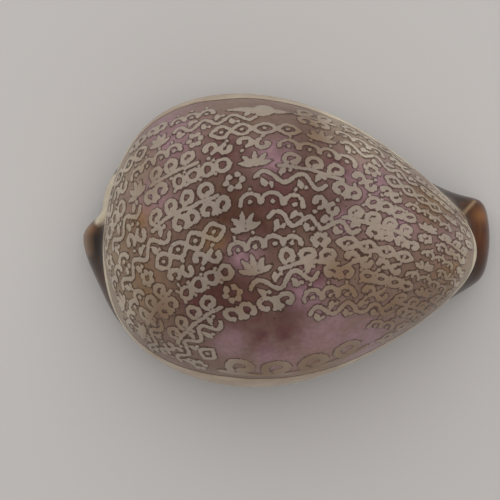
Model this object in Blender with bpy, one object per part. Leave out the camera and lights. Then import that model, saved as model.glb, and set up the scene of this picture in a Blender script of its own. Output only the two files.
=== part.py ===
"""An engraved cowrie shell, lying on its base with the humped back up.

The shell is one grown piece: a domed back, a beak at the front end, a knob at the rear end, and a flat
base with a toothed slit along its middle that opens into the hollow inside. +X points to the front
end, +Y to the inner-lip side and +Z up. The origin is on the surface it stands on, under the middle of
its box.

The body is a cage of closed rings that run round the shell, from the top of the back down the outside,
over the margin, under the base, in through the slit and up the inside. A Subdivision Surface modifier
rounds it. A column of the cage is one angle on every ring: 0 is the front end, 90 degrees the +Y side,
180 degrees the rear end and 270 degrees the outer-lip side. Lengths here are in millimetres.
"""

from math import atan, pi, radians

import bmesh
import bpy
import numpy as np
from mathutils import Matrix, Vector

MM = 0.001

# Overall size of the finished shell, and where the back is highest
LENGTH = 81.8
WIDTH = 57.6
HEIGHT = 44.0
SUMMIT = (-4.0, 0.5)

# Outline of the back at its widest, from above: half widths and middle line at even steps, rear to front
BACK_REAR_X = -36.0
BACK_FRONT_X = 36.7
BACK_HALF_WIDTHS = (42.0, 31.4, 28.0, 24.3, 17.0)
BACK_MIDDLE = (-1.2, 1.7, 0.6, -1.1, -1.2)
BACK_SIDE_HEIGHT = 12.5
BACK_END_HEIGHT = 16.5

# Outline of the margin, the outer edge of the base. A high squareness cuts that end off straight.
MARGIN_REAR_X = -38.2
MARGIN_FRONT_X = 40.9
MARGIN_HALF_WIDTHS = (20.5, 24.5, 26.8, 18.4, 8.2)
MARGIN_MIDDLE = (0.8, 0.2, 0.4, -0.4, 0.9)
MARGIN_REAR_SQUARENESS = 8.0
MARGIN_FRONT_SQUARENESS = 50.0
MARGIN_HEIGHT = 4.0
MARGIN_END_LIFT = 2.0

# Rim, the upper edge of the margin: how far it stands back, and its height
RIM_END_SETBACK = 1.1
RIM_BEAK_NARROWING = 1.0
RIM_HEIGHT = 8.2
RIM_END_LIFT = 1.6

# How close to the two ends the beak's narrowing and the deep creases stay, as a power of the cosine
END_POWER = 8

# Knob at the rear end, its two widths towards the notch and towards the outer lip, and the notch
KNOB_Y = 0.8
KNOB_LENGTH = 2.9
KNOB_WIDTHS = (2.4, 8.5)
NOTCH_Y = 5.6
NOTCH_DEPTH = 2.2
NOTCH_WIDTH = 1.9

# Crease between the rim and the back, deepest under the two ends, with the hollow top of the beak
CREASE_LEVEL = 0.5
CREASE_SIDE_DEPTH = 0.4
CREASE_REAR_DEPTH = 1.6
CREASE_FRONT_DEPTH = 1.4
BEAK_HOLLOW_DEPTH = 2.0
BEAK_HOLLOW_WIDTH = 0.18

# Slit along the base: middle line and half widths at even steps, rear to front, and the end canals
SLIT_REAR_X = -37.0
SLIT_FRONT_X = 39.8
SLIT_LINE = (5.4, -1.0, -3.4, -1.8, 1.0)
SLIT_HALF_WIDTHS = (2.0, 2.2, 2.7, 3.3, 2.7)
CANAL_WIDTH = 0.16
CANAL_HEIGHT = 6.0
LIP_HEIGHT = 1.7

# Base: rings at a share of the way from the lip to the margin, each with its height, and the end rise
BASE_RINGS = ((0.93, 1.0), (0.76, -0.25), (0.5, -0.4), (0.26, -0.1))
BASE_END_RISE = 2.2
END_SPREAD = 0.30

# Way in through the slit: the throat, then the brink of the hollow's floor, each shorter than the slit
THROAT_SHORTENING = 2.2
THROAT_HEIGHT = 4.4
THROAT_CANAL_HEIGHT = 7.0
BRINK_SHORTENING = 5.0
BRINK_SPREAD = 0.6
BRINK_HEIGHT = 6.0
BRINK_CANAL_HEIGHT = 7.6

# Wall and hollow
WALL = 2.5
FLOOR_HEIGHT = 7.0
FLOOR_END_RISE = 1.2
FLOOR_REACH = 0.72
HOLLOW_HEIGHT = 18.0
HOLLOW_FRONT_SETBACK = 2.4

# Teeth across the two lips
OUTER_TEETH = 22
INNER_TEETH = 19
OUTER_TOOTH_LENGTH = 8.0
INNER_TOOTH_LENGTH = 6.6
TEETH_REAR_X = -30.5
TEETH_FRONT_X = 33.5
TOOTH_THICKNESS = 1.8
TOOTH_DEPTH = 3.0
TOOTH_OVERHANG = 0.5
TOOTH_CLEARANCE = 0.15
TOOTH_SIDES = 6
END_TOOTH_SHORTENING = 0.45

# How finely the cage is divided
COLUMNS = 40
END_CROWDING = 0.31
DOME_STEPS = (15, 30, 45, 60, 75)
INNER_DOME_STEPS = (66, 40, 16)


def along(values, share):
    """A smooth curve through values at even steps, read at a share from -1, rear, to 1, front."""
    steps = np.linspace(-1, 1, len(values))
    return np.polyval(np.polyfit(steps, values, len(values) - 1), share)


def slope_along(values, share):
    """How fast that curve changes with the share."""
    steps = np.linspace(-1, 1, len(values))
    return np.polyval(np.polyder(np.polyfit(steps, values, len(values) - 1)), share)


def bump(distance, width):
    """1 where the distance is 0, fading to nothing over the width."""
    return np.exp(-((distance / width) ** 2))


def ring(x, y, z):
    """One point for each column."""
    return np.stack(np.broadcast_arrays(x, y, z), axis=-1).astype(float)


def between(inner, outer, share):
    """Points a share of the way from one ring, or one point, to another."""
    return inner + (outer - inner) * np.reshape(share, (-1, 1))


def dome(widest, oval, top, degrees):
    """A ring of a dome, at an angle from its top: oval near the top, like the widest ring lower down."""
    tilt = radians(degrees)
    outline = between(oval, widest, np.sin(tilt) ** 2)
    points = between(top, outline, np.sin(tilt))
    points[:, 2] = widest[:, 2] + (top[2] - widest[:, 2]) * np.cos(tilt)
    return points


def columns():
    """Cosine and sine of each column's angle. The columns crowd at the beak and the knob."""
    turn = 2 * pi * np.arange(COLUMNS) / COLUMNS
    angle = turn - END_CROWDING * np.sin(2 * turn)
    return np.cos(angle), np.sin(angle)


def back_ring(c, s):
    """The back where it is widest, seen from above."""
    x = (BACK_FRONT_X + BACK_REAR_X) / 2 + (BACK_FRONT_X - BACK_REAR_X) / 2 * c
    y = along(BACK_MIDDLE, c) + along(BACK_HALF_WIDTHS, c) * s
    return ring(x, y, BACK_SIDE_HEIGHT + (BACK_END_HEIGHT - BACK_SIDE_HEIGHT) * c**4)


def margin_ring(c, s):
    """The outer edge of the base, with the square beak in front and the knob and notch behind."""
    squareness = np.where(c > 0, MARGIN_FRONT_SQUARENESS, MARGIN_REAR_SQUARENESS)
    rounding = np.sign(s) * np.sqrt(1 - np.abs(c) ** squareness)
    x = np.where(c > 0, MARGIN_FRONT_X, -MARGIN_REAR_X) * c
    y = along(MARGIN_MIDDLE, c) + along(MARGIN_HALF_WIDTHS, c) * rounding
    knob_width = np.where(y > KNOB_Y, *KNOB_WIDTHS)
    knob = KNOB_LENGTH * bump(y - KNOB_Y, knob_width)
    notch = NOTCH_DEPTH * bump(y - NOTCH_Y, NOTCH_WIDTH)
    x += np.where(c < 0, notch - knob, 0)
    return ring(x, y, MARGIN_HEIGHT + MARGIN_END_LIFT * bump(s, END_SPREAD))


def rim_ring(margin, c, s):
    """The upper edge of the margin, beak and knob."""
    rim = margin.copy()
    rim[:, 0] -= RIM_END_SETBACK * c
    rim[:, 1] -= RIM_BEAK_NARROWING * np.clip(c, 0, 1) ** END_POWER * s
    rim[:, 2] = RIM_HEIGHT + RIM_END_LIFT * bump(s, END_SPREAD)
    return rim


def crease_ring(rim, back, c, s):
    """The crease between the rim and the back, which both overhang it at the two ends."""
    front, rear = np.clip(c, 0, 1) ** END_POWER, np.clip(-c, 0, 1) ** END_POWER
    depth = CREASE_SIDE_DEPTH + CREASE_REAR_DEPTH * rear
    depth += (CREASE_FRONT_DEPTH + BEAK_HOLLOW_DEPTH * bump(s, BEAK_HOLLOW_WIDTH)) * front
    crease = between(rim, back, CREASE_LEVEL)
    crease[:, 0] -= depth * c
    crease[:, 1] -= depth * s
    return crease


def slit_edge(c, s, shortening, height, canal_height, spread=0.0):
    """A ring along both sides of the slit, arched over the canal at each end."""
    canal = bump(s, CANAL_WIDTH)
    side = np.tanh(s / CANAL_WIDTH)
    x = (SLIT_FRONT_X + SLIT_REAR_X) / 2 + (SLIT_FRONT_X - SLIT_REAR_X) / 2 * c
    y = along(SLIT_LINE, c) + (along(SLIT_HALF_WIDTHS, c) + spread) * side
    x -= shortening * c * bump(s, END_SPREAD)
    return ring(x, y, height + (canal_height - height) * canal)


def base_ring(lip, margin, c, s, share, height):
    """A ring of the base: level along the middle, and carried up to the lip and margin at the ends."""
    points = between(lip, margin, share)
    level = height + BASE_END_RISE * c**4
    points[:, 2] += (level - points[:, 2]) * (1 - bump(s, END_SPREAD) ** 2)
    return points


def cage_rings():
    """The top point, all the rings from there to the hollow, and the point that closes the hollow."""
    c, s = columns()
    back = back_ring(c, s)
    oval = ring(back[:, 0], WIDTH / 2 * s, back[:, 2])
    summit = np.array([*SUMMIT, HEIGHT])
    domes = [dome(back, oval, summit, step) for step in DOME_STEPS]
    margin = margin_ring(c, s)
    rim = rim_ring(margin, c, s)
    outside = [*domes, back, crease_ring(rim, back, c, s), rim, margin]

    lip = slit_edge(c, s, 0.0, LIP_HEIGHT + BASE_END_RISE * c**4, CANAL_HEIGHT)
    bases = [base_ring(lip, margin, c, s, share, height) for share, height in BASE_RINGS]
    throat = slit_edge(c, s, THROAT_SHORTENING, THROAT_HEIGHT, THROAT_CANAL_HEIGHT)
    brink = slit_edge(c, s, BRINK_SHORTENING, BRINK_HEIGHT, BRINK_CANAL_HEIGHT, BRINK_SPREAD)
    underside = [*bases, lip, throat, brink]

    hollow = between(np.zeros(3), back, 1 - 2 * WALL / WIDTH)
    hollow[:, 0] -= HOLLOW_FRONT_SETBACK * np.clip(c, 0, 1) ** END_POWER
    hollow[:, 2] = HOLLOW_HEIGHT
    floor = between(brink, hollow, FLOOR_REACH)
    floor[:, 2] = FLOOR_HEIGHT + FLOOR_END_RISE * bump(s, END_SPREAD)
    ceiling = np.array([*SUMMIT, HEIGHT - WALL])
    inner_domes = [dome(hollow, hollow, ceiling, step) for step in INNER_DOME_STEPS]
    return summit, [*outside, *underside, floor, hollow, *inner_domes], ceiling


def mesh_from(bm, name):
    mesh = bpy.data.meshes.new(name)
    bm.to_mesh(mesh)
    bm.free()
    return mesh


def cage_mesh(top, rings, bottom):
    """Faces between the rings, closed by a fan at the top of the back and one inside under it."""
    bm = bmesh.new()
    outer_pole = bm.verts.new(top * MM)
    inner_pole = bm.verts.new(bottom * MM)
    rows = [[bm.verts.new(point * MM) for point in points] for points in rings]
    for j in range(COLUMNS):
        k = (j + 1) % COLUMNS
        bm.faces.new((outer_pole, rows[0][j], rows[0][k]))
        bm.faces.new((inner_pole, rows[-1][k], rows[-1][j]))
        for upper, lower in zip(rows, rows[1:]):
            bm.faces.new((upper[j], lower[j], lower[k], upper[k]))
    return mesh_from(bm, "cowrie_shell")


def add_tooth(bm, x, side, length):
    """A ridge across one lip, square to the slit, its tip over the slit's edge. End teeth are shorter."""
    slit_half_length = (SLIT_FRONT_X - SLIT_REAR_X) / 2
    share = (x - (SLIT_FRONT_X + SLIT_REAR_X) / 2) / slit_half_length
    slope = slope_along(SLIT_LINE, share) / slit_half_length
    edge = along(SLIT_LINE, share) + side * along(SLIT_HALF_WIDTHS, share)
    length *= 1 - END_TOOTH_SHORTENING * share**4
    reach = side * (length / 2 - TOOTH_OVERHANG)
    height = TOOTH_CLEARANCE + TOOTH_DEPTH / 2 + BASE_END_RISE * share**4
    move = Matrix.Translation(Vector((x - slope * reach, edge + reach, height)) * MM)
    turn = Matrix.Rotation(atan(slope), 4, "Z")
    size = Matrix.Diagonal((TOOTH_THICKNESS / 2, length / 2, TOOTH_DEPTH / 2, 1))
    matrix = move @ turn @ size
    bmesh.ops.create_uvsphere(
        bm, u_segments=TOOTH_SIDES, v_segments=TOOTH_SIDES, radius=MM, matrix=matrix
    )


def teeth_mesh():
    bm = bmesh.new()
    for side, count, length in (
        (-1, OUTER_TEETH, OUTER_TOOTH_LENGTH),
        (1, INNER_TEETH, INNER_TOOTH_LENGTH),
    ):
        for x in np.linspace(TEETH_REAR_X, TEETH_FRONT_X, count):
            add_tooth(bm, x, side, length)
    return mesh_from(bm, "teeth")


def ground_mesh():
    """A block whose top is the surface that the shell stands on."""
    bm = bmesh.new()
    size = Matrix.Diagonal((2 * LENGTH, 2 * WIDTH, HEIGHT, 1))
    move = Matrix.Translation((0, 0, -HEIGHT / 2 * MM))
    bmesh.ops.create_cube(bm, size=MM, matrix=move @ size)
    return mesh_from(bm, "ground")


def place(name, mesh):
    obj = bpy.data.objects.new(name, mesh)
    bpy.context.scene.collection.objects.link(obj)
    return obj


def place_helper(name, mesh):
    obj = place(name, mesh)
    obj.hide_render = True
    obj.display_type = "WIRE"
    return obj


def add_rounding(shell):
    rounding = shell.modifiers.new("rounding", "SUBSURF")
    rounding.levels = 1
    rounding.render_levels = 1


def add_boolean(shell, name, operation, other):
    boolean = shell.modifiers.new(name, "BOOLEAN")
    boolean.operation = operation
    boolean.object = other


def fit_to_size(shell, teeth):
    """Scales cage and teeth so that the rounded shell has its real size and is centred on the origin."""
    bpy.context.view_layer.update()
    rounded = shell.evaluated_get(bpy.context.evaluated_depsgraph_get())
    points = np.array([vertex.co for vertex in rounded.to_mesh().vertices]) / MM
    rounded.to_mesh_clear()
    low, high = points.min(axis=0), points.max(axis=0)
    scale = np.array([LENGTH, WIDTH, HEIGHT]) / (high - [*low[:2], 0.0])
    middle = np.array([*(low + high)[:2] / 2, 0.0])
    for vertex in [*shell.data.vertices, *teeth.data.vertices]:
        vertex.co = (np.array(vertex.co) - middle * MM) * scale


def shell_material():
    """Polished shell: greyish cream with a mauve cast, semi-gloss."""
    material = bpy.data.materials.new("polished_shell")
    material.use_nodes = True
    principled = material.node_tree.nodes["Principled BSDF"]
    principled.inputs["Base Color"].default_value = (0.42, 0.33, 0.29, 1.0)
    principled.inputs["Roughness"].default_value = 0.3
    principled.inputs["Metallic"].default_value = 0.0
    return material


def main():
    for obj in list(bpy.data.objects):
        bpy.data.objects.remove(obj)
    shell = place("cowrie_shell", cage_mesh(*cage_rings()))
    shell.data.materials.append(shell_material())
    shell.data.shade_smooth()
    teeth = place_helper("teeth", teeth_mesh())
    add_rounding(shell)
    fit_to_size(shell, teeth)
    add_boolean(shell, "teeth on the lips", "UNION", teeth)
    add_boolean(shell, "flat spots", "DIFFERENCE", place_helper("ground", ground_mesh()))


main()
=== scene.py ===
from math import pi, radians

import bmesh
import bpy
import numpy as np
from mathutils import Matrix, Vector, kdtree, noise


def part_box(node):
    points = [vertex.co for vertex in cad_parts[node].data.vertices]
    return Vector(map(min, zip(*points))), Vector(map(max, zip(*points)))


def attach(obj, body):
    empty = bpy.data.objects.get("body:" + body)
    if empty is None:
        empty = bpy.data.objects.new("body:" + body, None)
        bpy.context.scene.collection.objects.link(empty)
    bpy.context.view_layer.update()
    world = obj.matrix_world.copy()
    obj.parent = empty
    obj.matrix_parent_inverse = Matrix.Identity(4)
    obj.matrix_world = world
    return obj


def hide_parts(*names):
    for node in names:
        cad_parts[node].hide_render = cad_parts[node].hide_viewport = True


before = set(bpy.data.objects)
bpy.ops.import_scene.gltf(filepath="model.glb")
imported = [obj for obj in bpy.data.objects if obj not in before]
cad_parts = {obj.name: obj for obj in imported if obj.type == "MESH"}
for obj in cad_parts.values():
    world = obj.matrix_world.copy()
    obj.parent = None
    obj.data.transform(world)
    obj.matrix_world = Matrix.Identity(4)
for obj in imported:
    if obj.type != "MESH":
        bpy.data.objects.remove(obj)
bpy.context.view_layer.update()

# The shell body
# A humped cowrie is one shell that the snail grew in layers of aragonite. Its last whorl wraps all the
# others and shows as a dome with a beak, a knob and a slit. It is drawn as closed rings round the shell: +X
# is the front end and a turn of 0, +Y the inner-lip side and a turn of 90 degrees, z = 0 what it lies on.
MM = 0.001

# Width and height of the whole, and where the back is highest (all lengths are in millimetres)
WIDTH = 57.6
HEIGHT = 44.0
SUMMIT = (-4.0, 0.5)

# Outline of the back at its widest, from above: its reach on the inner-lip and the outer-lip side of a
# middle line, at even steps, rear to front
BACK_REAR_X = -36.0
BACK_FRONT_X = 36.7
BACK_INNER_REACH = (42.0, 31.4, 28.0, 24.3, 17.0)
BACK_OUTER_REACH = (36.5, 32.1, 27.8, 21.8, 16.2)
BACK_MIDDLE = (-1.2, 1.7, 0.6, -1.1, -1.2)
BACK_SIDE_HEIGHT = 12.5
BACK_END_HEIGHT = 16.5

# How close to the two ends the back and the base rise, as a power of the cosine, and the same for the beak's
# narrowing and the deep creases
RISE_POWER = 4
END_POWER = 8

# Outline of the margin, the outer edge of the base. A high squareness cuts that end off straight.
MARGIN_REAR_X = -38.2
MARGIN_FRONT_X = 40.9
MARGIN_HALF_WIDTHS = (20.5, 24.5, 26.8, 18.4, 8.2)
MARGIN_MIDDLE = (0.8, 0.2, 0.4, -0.4, 1.6)
MARGIN_REAR_SQUARENESS = 8.0
MARGIN_FRONT_SQUARENESS = 50.0
MARGIN_HEIGHT = 4.0
MARGIN_END_LIFT = 2.0

# Rim, the upper edge of the margin: how far it stands back, and its height
RIM_END_SETBACK = 1.1
RIM_BEAK_NARROWING = 1.0
RIM_HEIGHT = 8.2
RIM_END_LIFT = 1.6

# Knob at the rear end, its two widths towards the notch and towards the outer lip, and the notch
KNOB_Y = 1.8
KNOB_LENGTH = 2.9
KNOB_WIDTHS = (3.9, 8.5)
NOTCH_Y = 6.6
NOTCH_DEPTH = 1.1
NOTCH_WIDTH = 1.8

# Crease between the rim and the back, deepest under the two ends, with the hollow top of the beak
CREASE_LEVEL = 0.5
CREASE_SIDE_DEPTH = 0.4
CREASE_REAR_DEPTH = 1.6
CREASE_FRONT_DEPTH = 1.4
BEAK_HOLLOW_DEPTH = 2.0
BEAK_HOLLOW_WIDTH = 0.18

# Slit along the base: middle line and half widths at even steps, rear to front, and the end canals
SLIT_REAR_X = -37.0
SLIT_FRONT_X = 39.8
SLIT_LINE = (5.4, -1.0, -3.4, -1.8, 1.0)
SLIT_HALF_WIDTHS = (2.0, 2.2, 2.7, 3.3, 2.7)
CANAL_WIDTH = 0.16
CANAL_HEIGHT = 6.0
LIP_HEIGHT = 1.9

# Base: rings at a share of the way from the lip to the margin, each with its height, how many of them carry
# the teeth, and how much and how widely the base rises at the ends
BASE_RINGS = ((0.94, 1.4), (0.84, 0.0), (0.64, -0.4), (0.44, -0.35), (0.28, 0.1), (0.12, 1.0))
TOOTHED_RINGS = 2
BASE_END_RISE = 2.2
END_SPREAD = 0.30

# Way in through the slit: the throat, then the brink of the hollow's floor, each shorter than the slit
THROAT_SHORTENING = 2.2
THROAT_HEIGHT = 4.4
THROAT_CANAL_HEIGHT = 7.0
BRINK_SHORTENING = 5.0
BRINK_SPREAD = 0.6
BRINK_HEIGHT = 6.0
BRINK_CANAL_HEIGHT = 7.6

# Wall and hollow
WALL = 2.5
FLOOR_HEIGHT = 7.0
FLOOR_END_RISE = 1.2
FLOOR_REACH = 0.72
HOLLOW_HEIGHT = 18.0
HOLLOW_FRONT_SETBACK = 2.4
INNER_DOME_STEPS = (66, 40, 16)

# How finely the rings are divided. The columns crowd towards the two ends on the lower rings, for the beak
# and the knob, and stay nearly even on the back, for the engraving.
COLUMNS = 80
CAP_CELLS = COLUMNS // 4
SIDE_STEPS = 9
END_CROWDING = 0.31
BACK_CROWDING = 0.16

# Zones of the shell from the top down, and how many times each is rounded: finest where it is engraved
BACK, BASE, LIPS, BRINK, INSIDE = range(5)
ROUNDINGS = {BACK: 3, BASE: 2, LIPS: 2, BRINK: 2, INSIDE: 1}

# How near two points of a seam are to be one, and two ring numbers to be the same ring
SEAM_GAP = 0.1
SAME_RING = 0.01


def along(values, share):
    """A smooth curve through values at even steps, read at a share from -1, rear, to 1, front."""
    steps = np.linspace(-1, 1, len(values))
    return np.polyval(np.polyfit(steps, values, len(values) - 1), share)


def bump(distance, width):
    """1 where the distance is 0, fading to nothing over the width."""
    return np.exp(-((distance / width) ** 2))


def ring(x, y, z):
    """One point for each column."""
    return np.stack(np.broadcast_arrays(x, y, z), axis=-1).astype(float)


def between(inner, outer, share):
    """Points a share of the way from one ring, or one point, to another."""
    return inner + (outer - inner) * np.reshape(share, (-1, 1))


def crowded(turn, crowding):
    """Cosine and sine of each column's angle on a ring whose columns crowd so much at the ends."""
    angle = turn - crowding * np.sin(2 * turn)
    return np.cos(angle), np.sin(angle)


def back_ring(c, s):
    """The back where it is widest, seen from above."""
    x = (BACK_FRONT_X + BACK_REAR_X) / 2 + (BACK_FRONT_X - BACK_REAR_X) / 2 * c
    reach = np.where(s > 0, along(BACK_INNER_REACH, c), along(BACK_OUTER_REACH, c))
    z = BACK_SIDE_HEIGHT + (BACK_END_HEIGHT - BACK_SIDE_HEIGHT) * c**RISE_POWER
    return ring(x, along(BACK_MIDDLE, c) + reach * s, z)


def dome(widest, oval, top, tilt):
    """Points of a dome at their tilt from its top: oval near the top, like the widest ring lower down."""
    outline = between(oval, widest, np.sin(tilt) ** 2)
    points = between(top, outline, np.sin(tilt))
    points[:, 2] = widest[:, 2] + (top[2] - widest[:, 2]) * np.cos(tilt)
    return points


def back_points(turn, tilt, crowding=0.0):
    """Points of the domed back, from their turn round the summit and their tilt down from it."""
    c, s = crowded(turn, crowding)
    widest = back_ring(c, s)
    oval = ring(widest[:, 0], WIDTH / 2 * s, widest[:, 2])
    return dome(widest, oval, np.array([*SUMMIT, HEIGHT]), tilt)


def margin_ring(c, s):
    """The outer edge of the base, with the square beak in front and the knob and notch behind."""
    squareness = np.where(c > 0, MARGIN_FRONT_SQUARENESS, MARGIN_REAR_SQUARENESS)
    rounding = np.sign(s) * np.sqrt(1 - np.abs(c) ** squareness)
    x = np.where(c > 0, MARGIN_FRONT_X, -MARGIN_REAR_X) * c
    y = along(MARGIN_MIDDLE, c) + along(MARGIN_HALF_WIDTHS, c) * rounding
    knob_width = np.where(y > KNOB_Y, *KNOB_WIDTHS)
    knob = KNOB_LENGTH * bump(y - KNOB_Y, knob_width)
    notch = NOTCH_DEPTH * bump(y - NOTCH_Y, NOTCH_WIDTH)
    x += np.where(c < 0, notch - knob, 0)
    return ring(x, y, MARGIN_HEIGHT + MARGIN_END_LIFT * bump(s, END_SPREAD))


def rim_ring(margin, c, s):
    """The upper edge of the margin, beak and knob."""
    rim = margin.copy()
    rim[:, 0] -= RIM_END_SETBACK * c
    rim[:, 1] -= RIM_BEAK_NARROWING * np.clip(c, 0, 1) ** END_POWER * s
    rim[:, 2] = RIM_HEIGHT + RIM_END_LIFT * bump(s, END_SPREAD)
    return rim


def crease_ring(rim, back, c, s):
    """The crease between the rim and the back, which both overhang it at the two ends."""
    front, rear = np.clip(c, 0, 1) ** END_POWER, np.clip(-c, 0, 1) ** END_POWER
    depth = CREASE_SIDE_DEPTH + CREASE_REAR_DEPTH * rear
    depth += (CREASE_FRONT_DEPTH + BEAK_HOLLOW_DEPTH * bump(s, BEAK_HOLLOW_WIDTH)) * front
    crease = between(rim, back, CREASE_LEVEL)
    crease[:, 0] -= depth * c
    crease[:, 1] -= depth * s
    return crease


def slit_edge(c, s, shortening, height, canal_height, spread=0.0):
    """A ring along both sides of the slit, arched over the canal at each end."""
    canal = bump(s, CANAL_WIDTH)
    side = np.tanh(s / CANAL_WIDTH)
    x = (SLIT_FRONT_X + SLIT_REAR_X) / 2 + (SLIT_FRONT_X - SLIT_REAR_X) / 2 * c
    y = along(SLIT_LINE, c) + (along(SLIT_HALF_WIDTHS, c) + spread) * side
    x -= shortening * c * bump(s, END_SPREAD)
    return ring(x, y, height + (canal_height - height) * canal)


def base_ring(lip, margin, c, s, share, height):
    """A ring of the base: level along the middle, and carried up to the lip and margin at the ends."""
    points = between(lip, margin, share)
    level = height + BASE_END_RISE * c**RISE_POWER
    points[:, 2] += (level - points[:, 2]) * (1 - bump(s, END_SPREAD) ** 2)
    return points


def side_tilts(turn, step):
    """Tilts of a ring on the side of the back. It is squarish near the cap, and level at the widest ring."""
    fold = (turn + pi / 4) % (pi / 2) - pi / 4
    rise = np.tan(pi / 4 * (1 - step / SIDE_STEPS))
    return pi / 2 - np.arctan(rise * np.cos(fold))


def rings_below_cap(turn):
    """All the rings from under the cap to the hollow's ceiling, each with the zone that ends there."""
    sides = []
    for step in range(1, SIDE_STEPS + 1):
        crowding = BACK_CROWDING * (step / SIDE_STEPS) ** 2
        sides.append(back_points(turn, side_tilts(turn, step), crowding))
    c, s = crowded(turn, END_CROWDING)
    back = back_ring(c, s)
    margin = margin_ring(c, s)
    rim = rim_ring(margin, c, s)
    edge = [crease_ring(rim, back, c, s), rim, margin]

    c, s = crowded(turn, 0.0)
    lip = slit_edge(c, s, 0.0, LIP_HEIGHT + BASE_END_RISE * c**RISE_POWER, CANAL_HEIGHT)
    for share, height in BASE_RINGS:
        c, s = crowded(turn, END_CROWDING * share)
        edge.append(base_ring(lip, margin, c, s, share, height))
    c, s = crowded(turn, 0.0)
    throat = slit_edge(c, s, THROAT_SHORTENING, THROAT_HEIGHT, THROAT_CANAL_HEIGHT)
    brink = slit_edge(c, s, BRINK_SHORTENING, BRINK_HEIGHT, BRINK_CANAL_HEIGHT, BRINK_SPREAD)

    c, s = crowded(turn, BACK_CROWDING)
    hollow = between(np.zeros(3), back_ring(c, s), 1 - 2 * WALL / WIDTH)
    hollow[:, 0] -= HOLLOW_FRONT_SETBACK * np.clip(c, 0, 1) ** END_POWER
    hollow[:, 2] = HOLLOW_HEIGHT
    floor = between(brink, hollow, FLOOR_REACH)
    floor[:, 2] = FLOOR_HEIGHT + FLOOR_END_RISE * bump(s, END_SPREAD)
    ceiling = np.array([*SUMMIT, HEIGHT - WALL])
    inner = [dome(hollow, hollow, ceiling, radians(step)) for step in INNER_DOME_STEPS]
    closing = ring(*ceiling) + np.zeros((len(turn), 1))
    inside = [floor, hollow, *inner, closing]

    plain, toothed = edge[:-TOOTHED_RINGS], [*edge[-TOOTHED_RINGS:], lip, throat]
    by_zone = {BACK: sides, BASE: plain, LIPS: toothed, BRINK: [brink], INSIDE: inside}
    return [(points, zone) for zone, group in by_zone.items() for points in group]


def pick(piece):
    """Selects that object and no other, and makes it the active one."""
    bpy.ops.object.select_all(action="DESELECT")
    piece.select_set(True)
    bpy.context.view_layer.objects.active = piece


def rounded_zone(cage, zone):
    """A copy of the cage, rounded, of which only one zone's faces are left."""
    pick(cage)
    bpy.ops.object.duplicate()
    part = bpy.context.object
    rounding = part.modifiers.new("rounding", "SUBSURF")
    rounding.levels = ROUNDINGS[zone]
    rounding.render_levels = ROUNDINGS[zone]
    bpy.ops.object.modifier_apply(modifier=rounding.name)
    bpy.ops.object.mode_set(mode="EDIT")
    bpy.ops.mesh.select_mode(type="FACE")
    bpy.ops.mesh.select_all(action="DESELECT")
    bm = bmesh.from_edit_mesh(part.data)
    zone_of = bm.faces.layers.int["zone"]
    for face in bm.faces:
        face.select_set(face[zone_of] != zone)
    bpy.ops.mesh.delete(type="FACE")
    bpy.ops.object.mode_set(mode="OBJECT")
    return part


def cut_edges(part, wanted):
    """Cuts in two each edge of the part for which wanted(edge, its two ring numbers) is true."""
    pick(part)
    bpy.ops.object.mode_set(mode="EDIT")
    bpy.ops.mesh.select_mode(type="EDGE")
    bpy.ops.mesh.select_all(action="DESELECT")
    bm = bmesh.from_edit_mesh(part.data)
    ring_of = bm.verts.layers.float["ring"]
    for edge in bm.edges:
        edge.select_set(wanted(edge, [vert[ring_of] for vert in edge.verts]))
    bpy.ops.mesh.subdivide(number_cuts=1)
    bpy.ops.object.mode_set(mode="OBJECT")


# The cap of the back is a square grid bent over the summit, so that its cells keep one size.
bpy.ops.object.select_all(action="DESELECT")
bpy.ops.mesh.primitive_grid_add(x_subdivisions=CAP_CELLS, y_subdivisions=CAP_CELLS, size=2)
cage = bpy.context.object
cage.name = "cage"
bpy.ops.object.mode_set(mode="EDIT")
bm = bmesh.from_edit_mesh(cage.data)
turn_of = bm.verts.layers.float.new("turn")
ring_of = bm.verts.layers.float.new("ring")
zone_of = bm.faces.layers.int.new("zone")
for vert in bm.verts:
    across = Vector((np.tan(vert.co.x * pi / 4), np.tan(vert.co.y * pi / 4)))
    vert[turn_of] = np.arctan2(across.y, across.x)
    vert.co = back_points(np.array([vert[turn_of]]), np.arctan([across.length]))[0] * MM
bpy.ops.mesh.select_mode(type="EDGE")
bpy.ops.mesh.select_all(action="DESELECT")
bpy.ops.mesh.select_non_manifold()

# From the edge of the cap, ring after ring is extruded: down the outside, under the base, in through the
# slit and up the inside, where the last ring is drawn together in one point.
bm = bmesh.from_edit_mesh(cage.data)
turn_of = bm.verts.layers.float["turn"]
turns = sorted(vert[turn_of] for vert in bm.verts if vert.select)
rings = rings_below_cap(np.array(turns))
for number, (points, zone) in enumerate(rings, start=1):
    bpy.ops.mesh.extrude_edges_indiv()
    bm = bmesh.from_edit_mesh(cage.data)
    turn_of = bm.verts.layers.float["turn"]
    ring_of = bm.verts.layers.float["ring"]
    zone_of = bm.faces.layers.int["zone"]
    drawn = sorted((vert for vert in bm.verts if vert.select), key=lambda vert: vert[turn_of])
    for vert, point in zip(drawn, points):
        vert.co = point * MM
        vert[ring_of] = number
        for face in vert.link_faces:
            if all(corner[ring_of] >= number - 1 for corner in face.verts):
                face[zone_of] = zone
bpy.ops.mesh.merge(type="CENTER")
bpy.ops.object.mode_set(mode="OBJECT")

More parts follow.
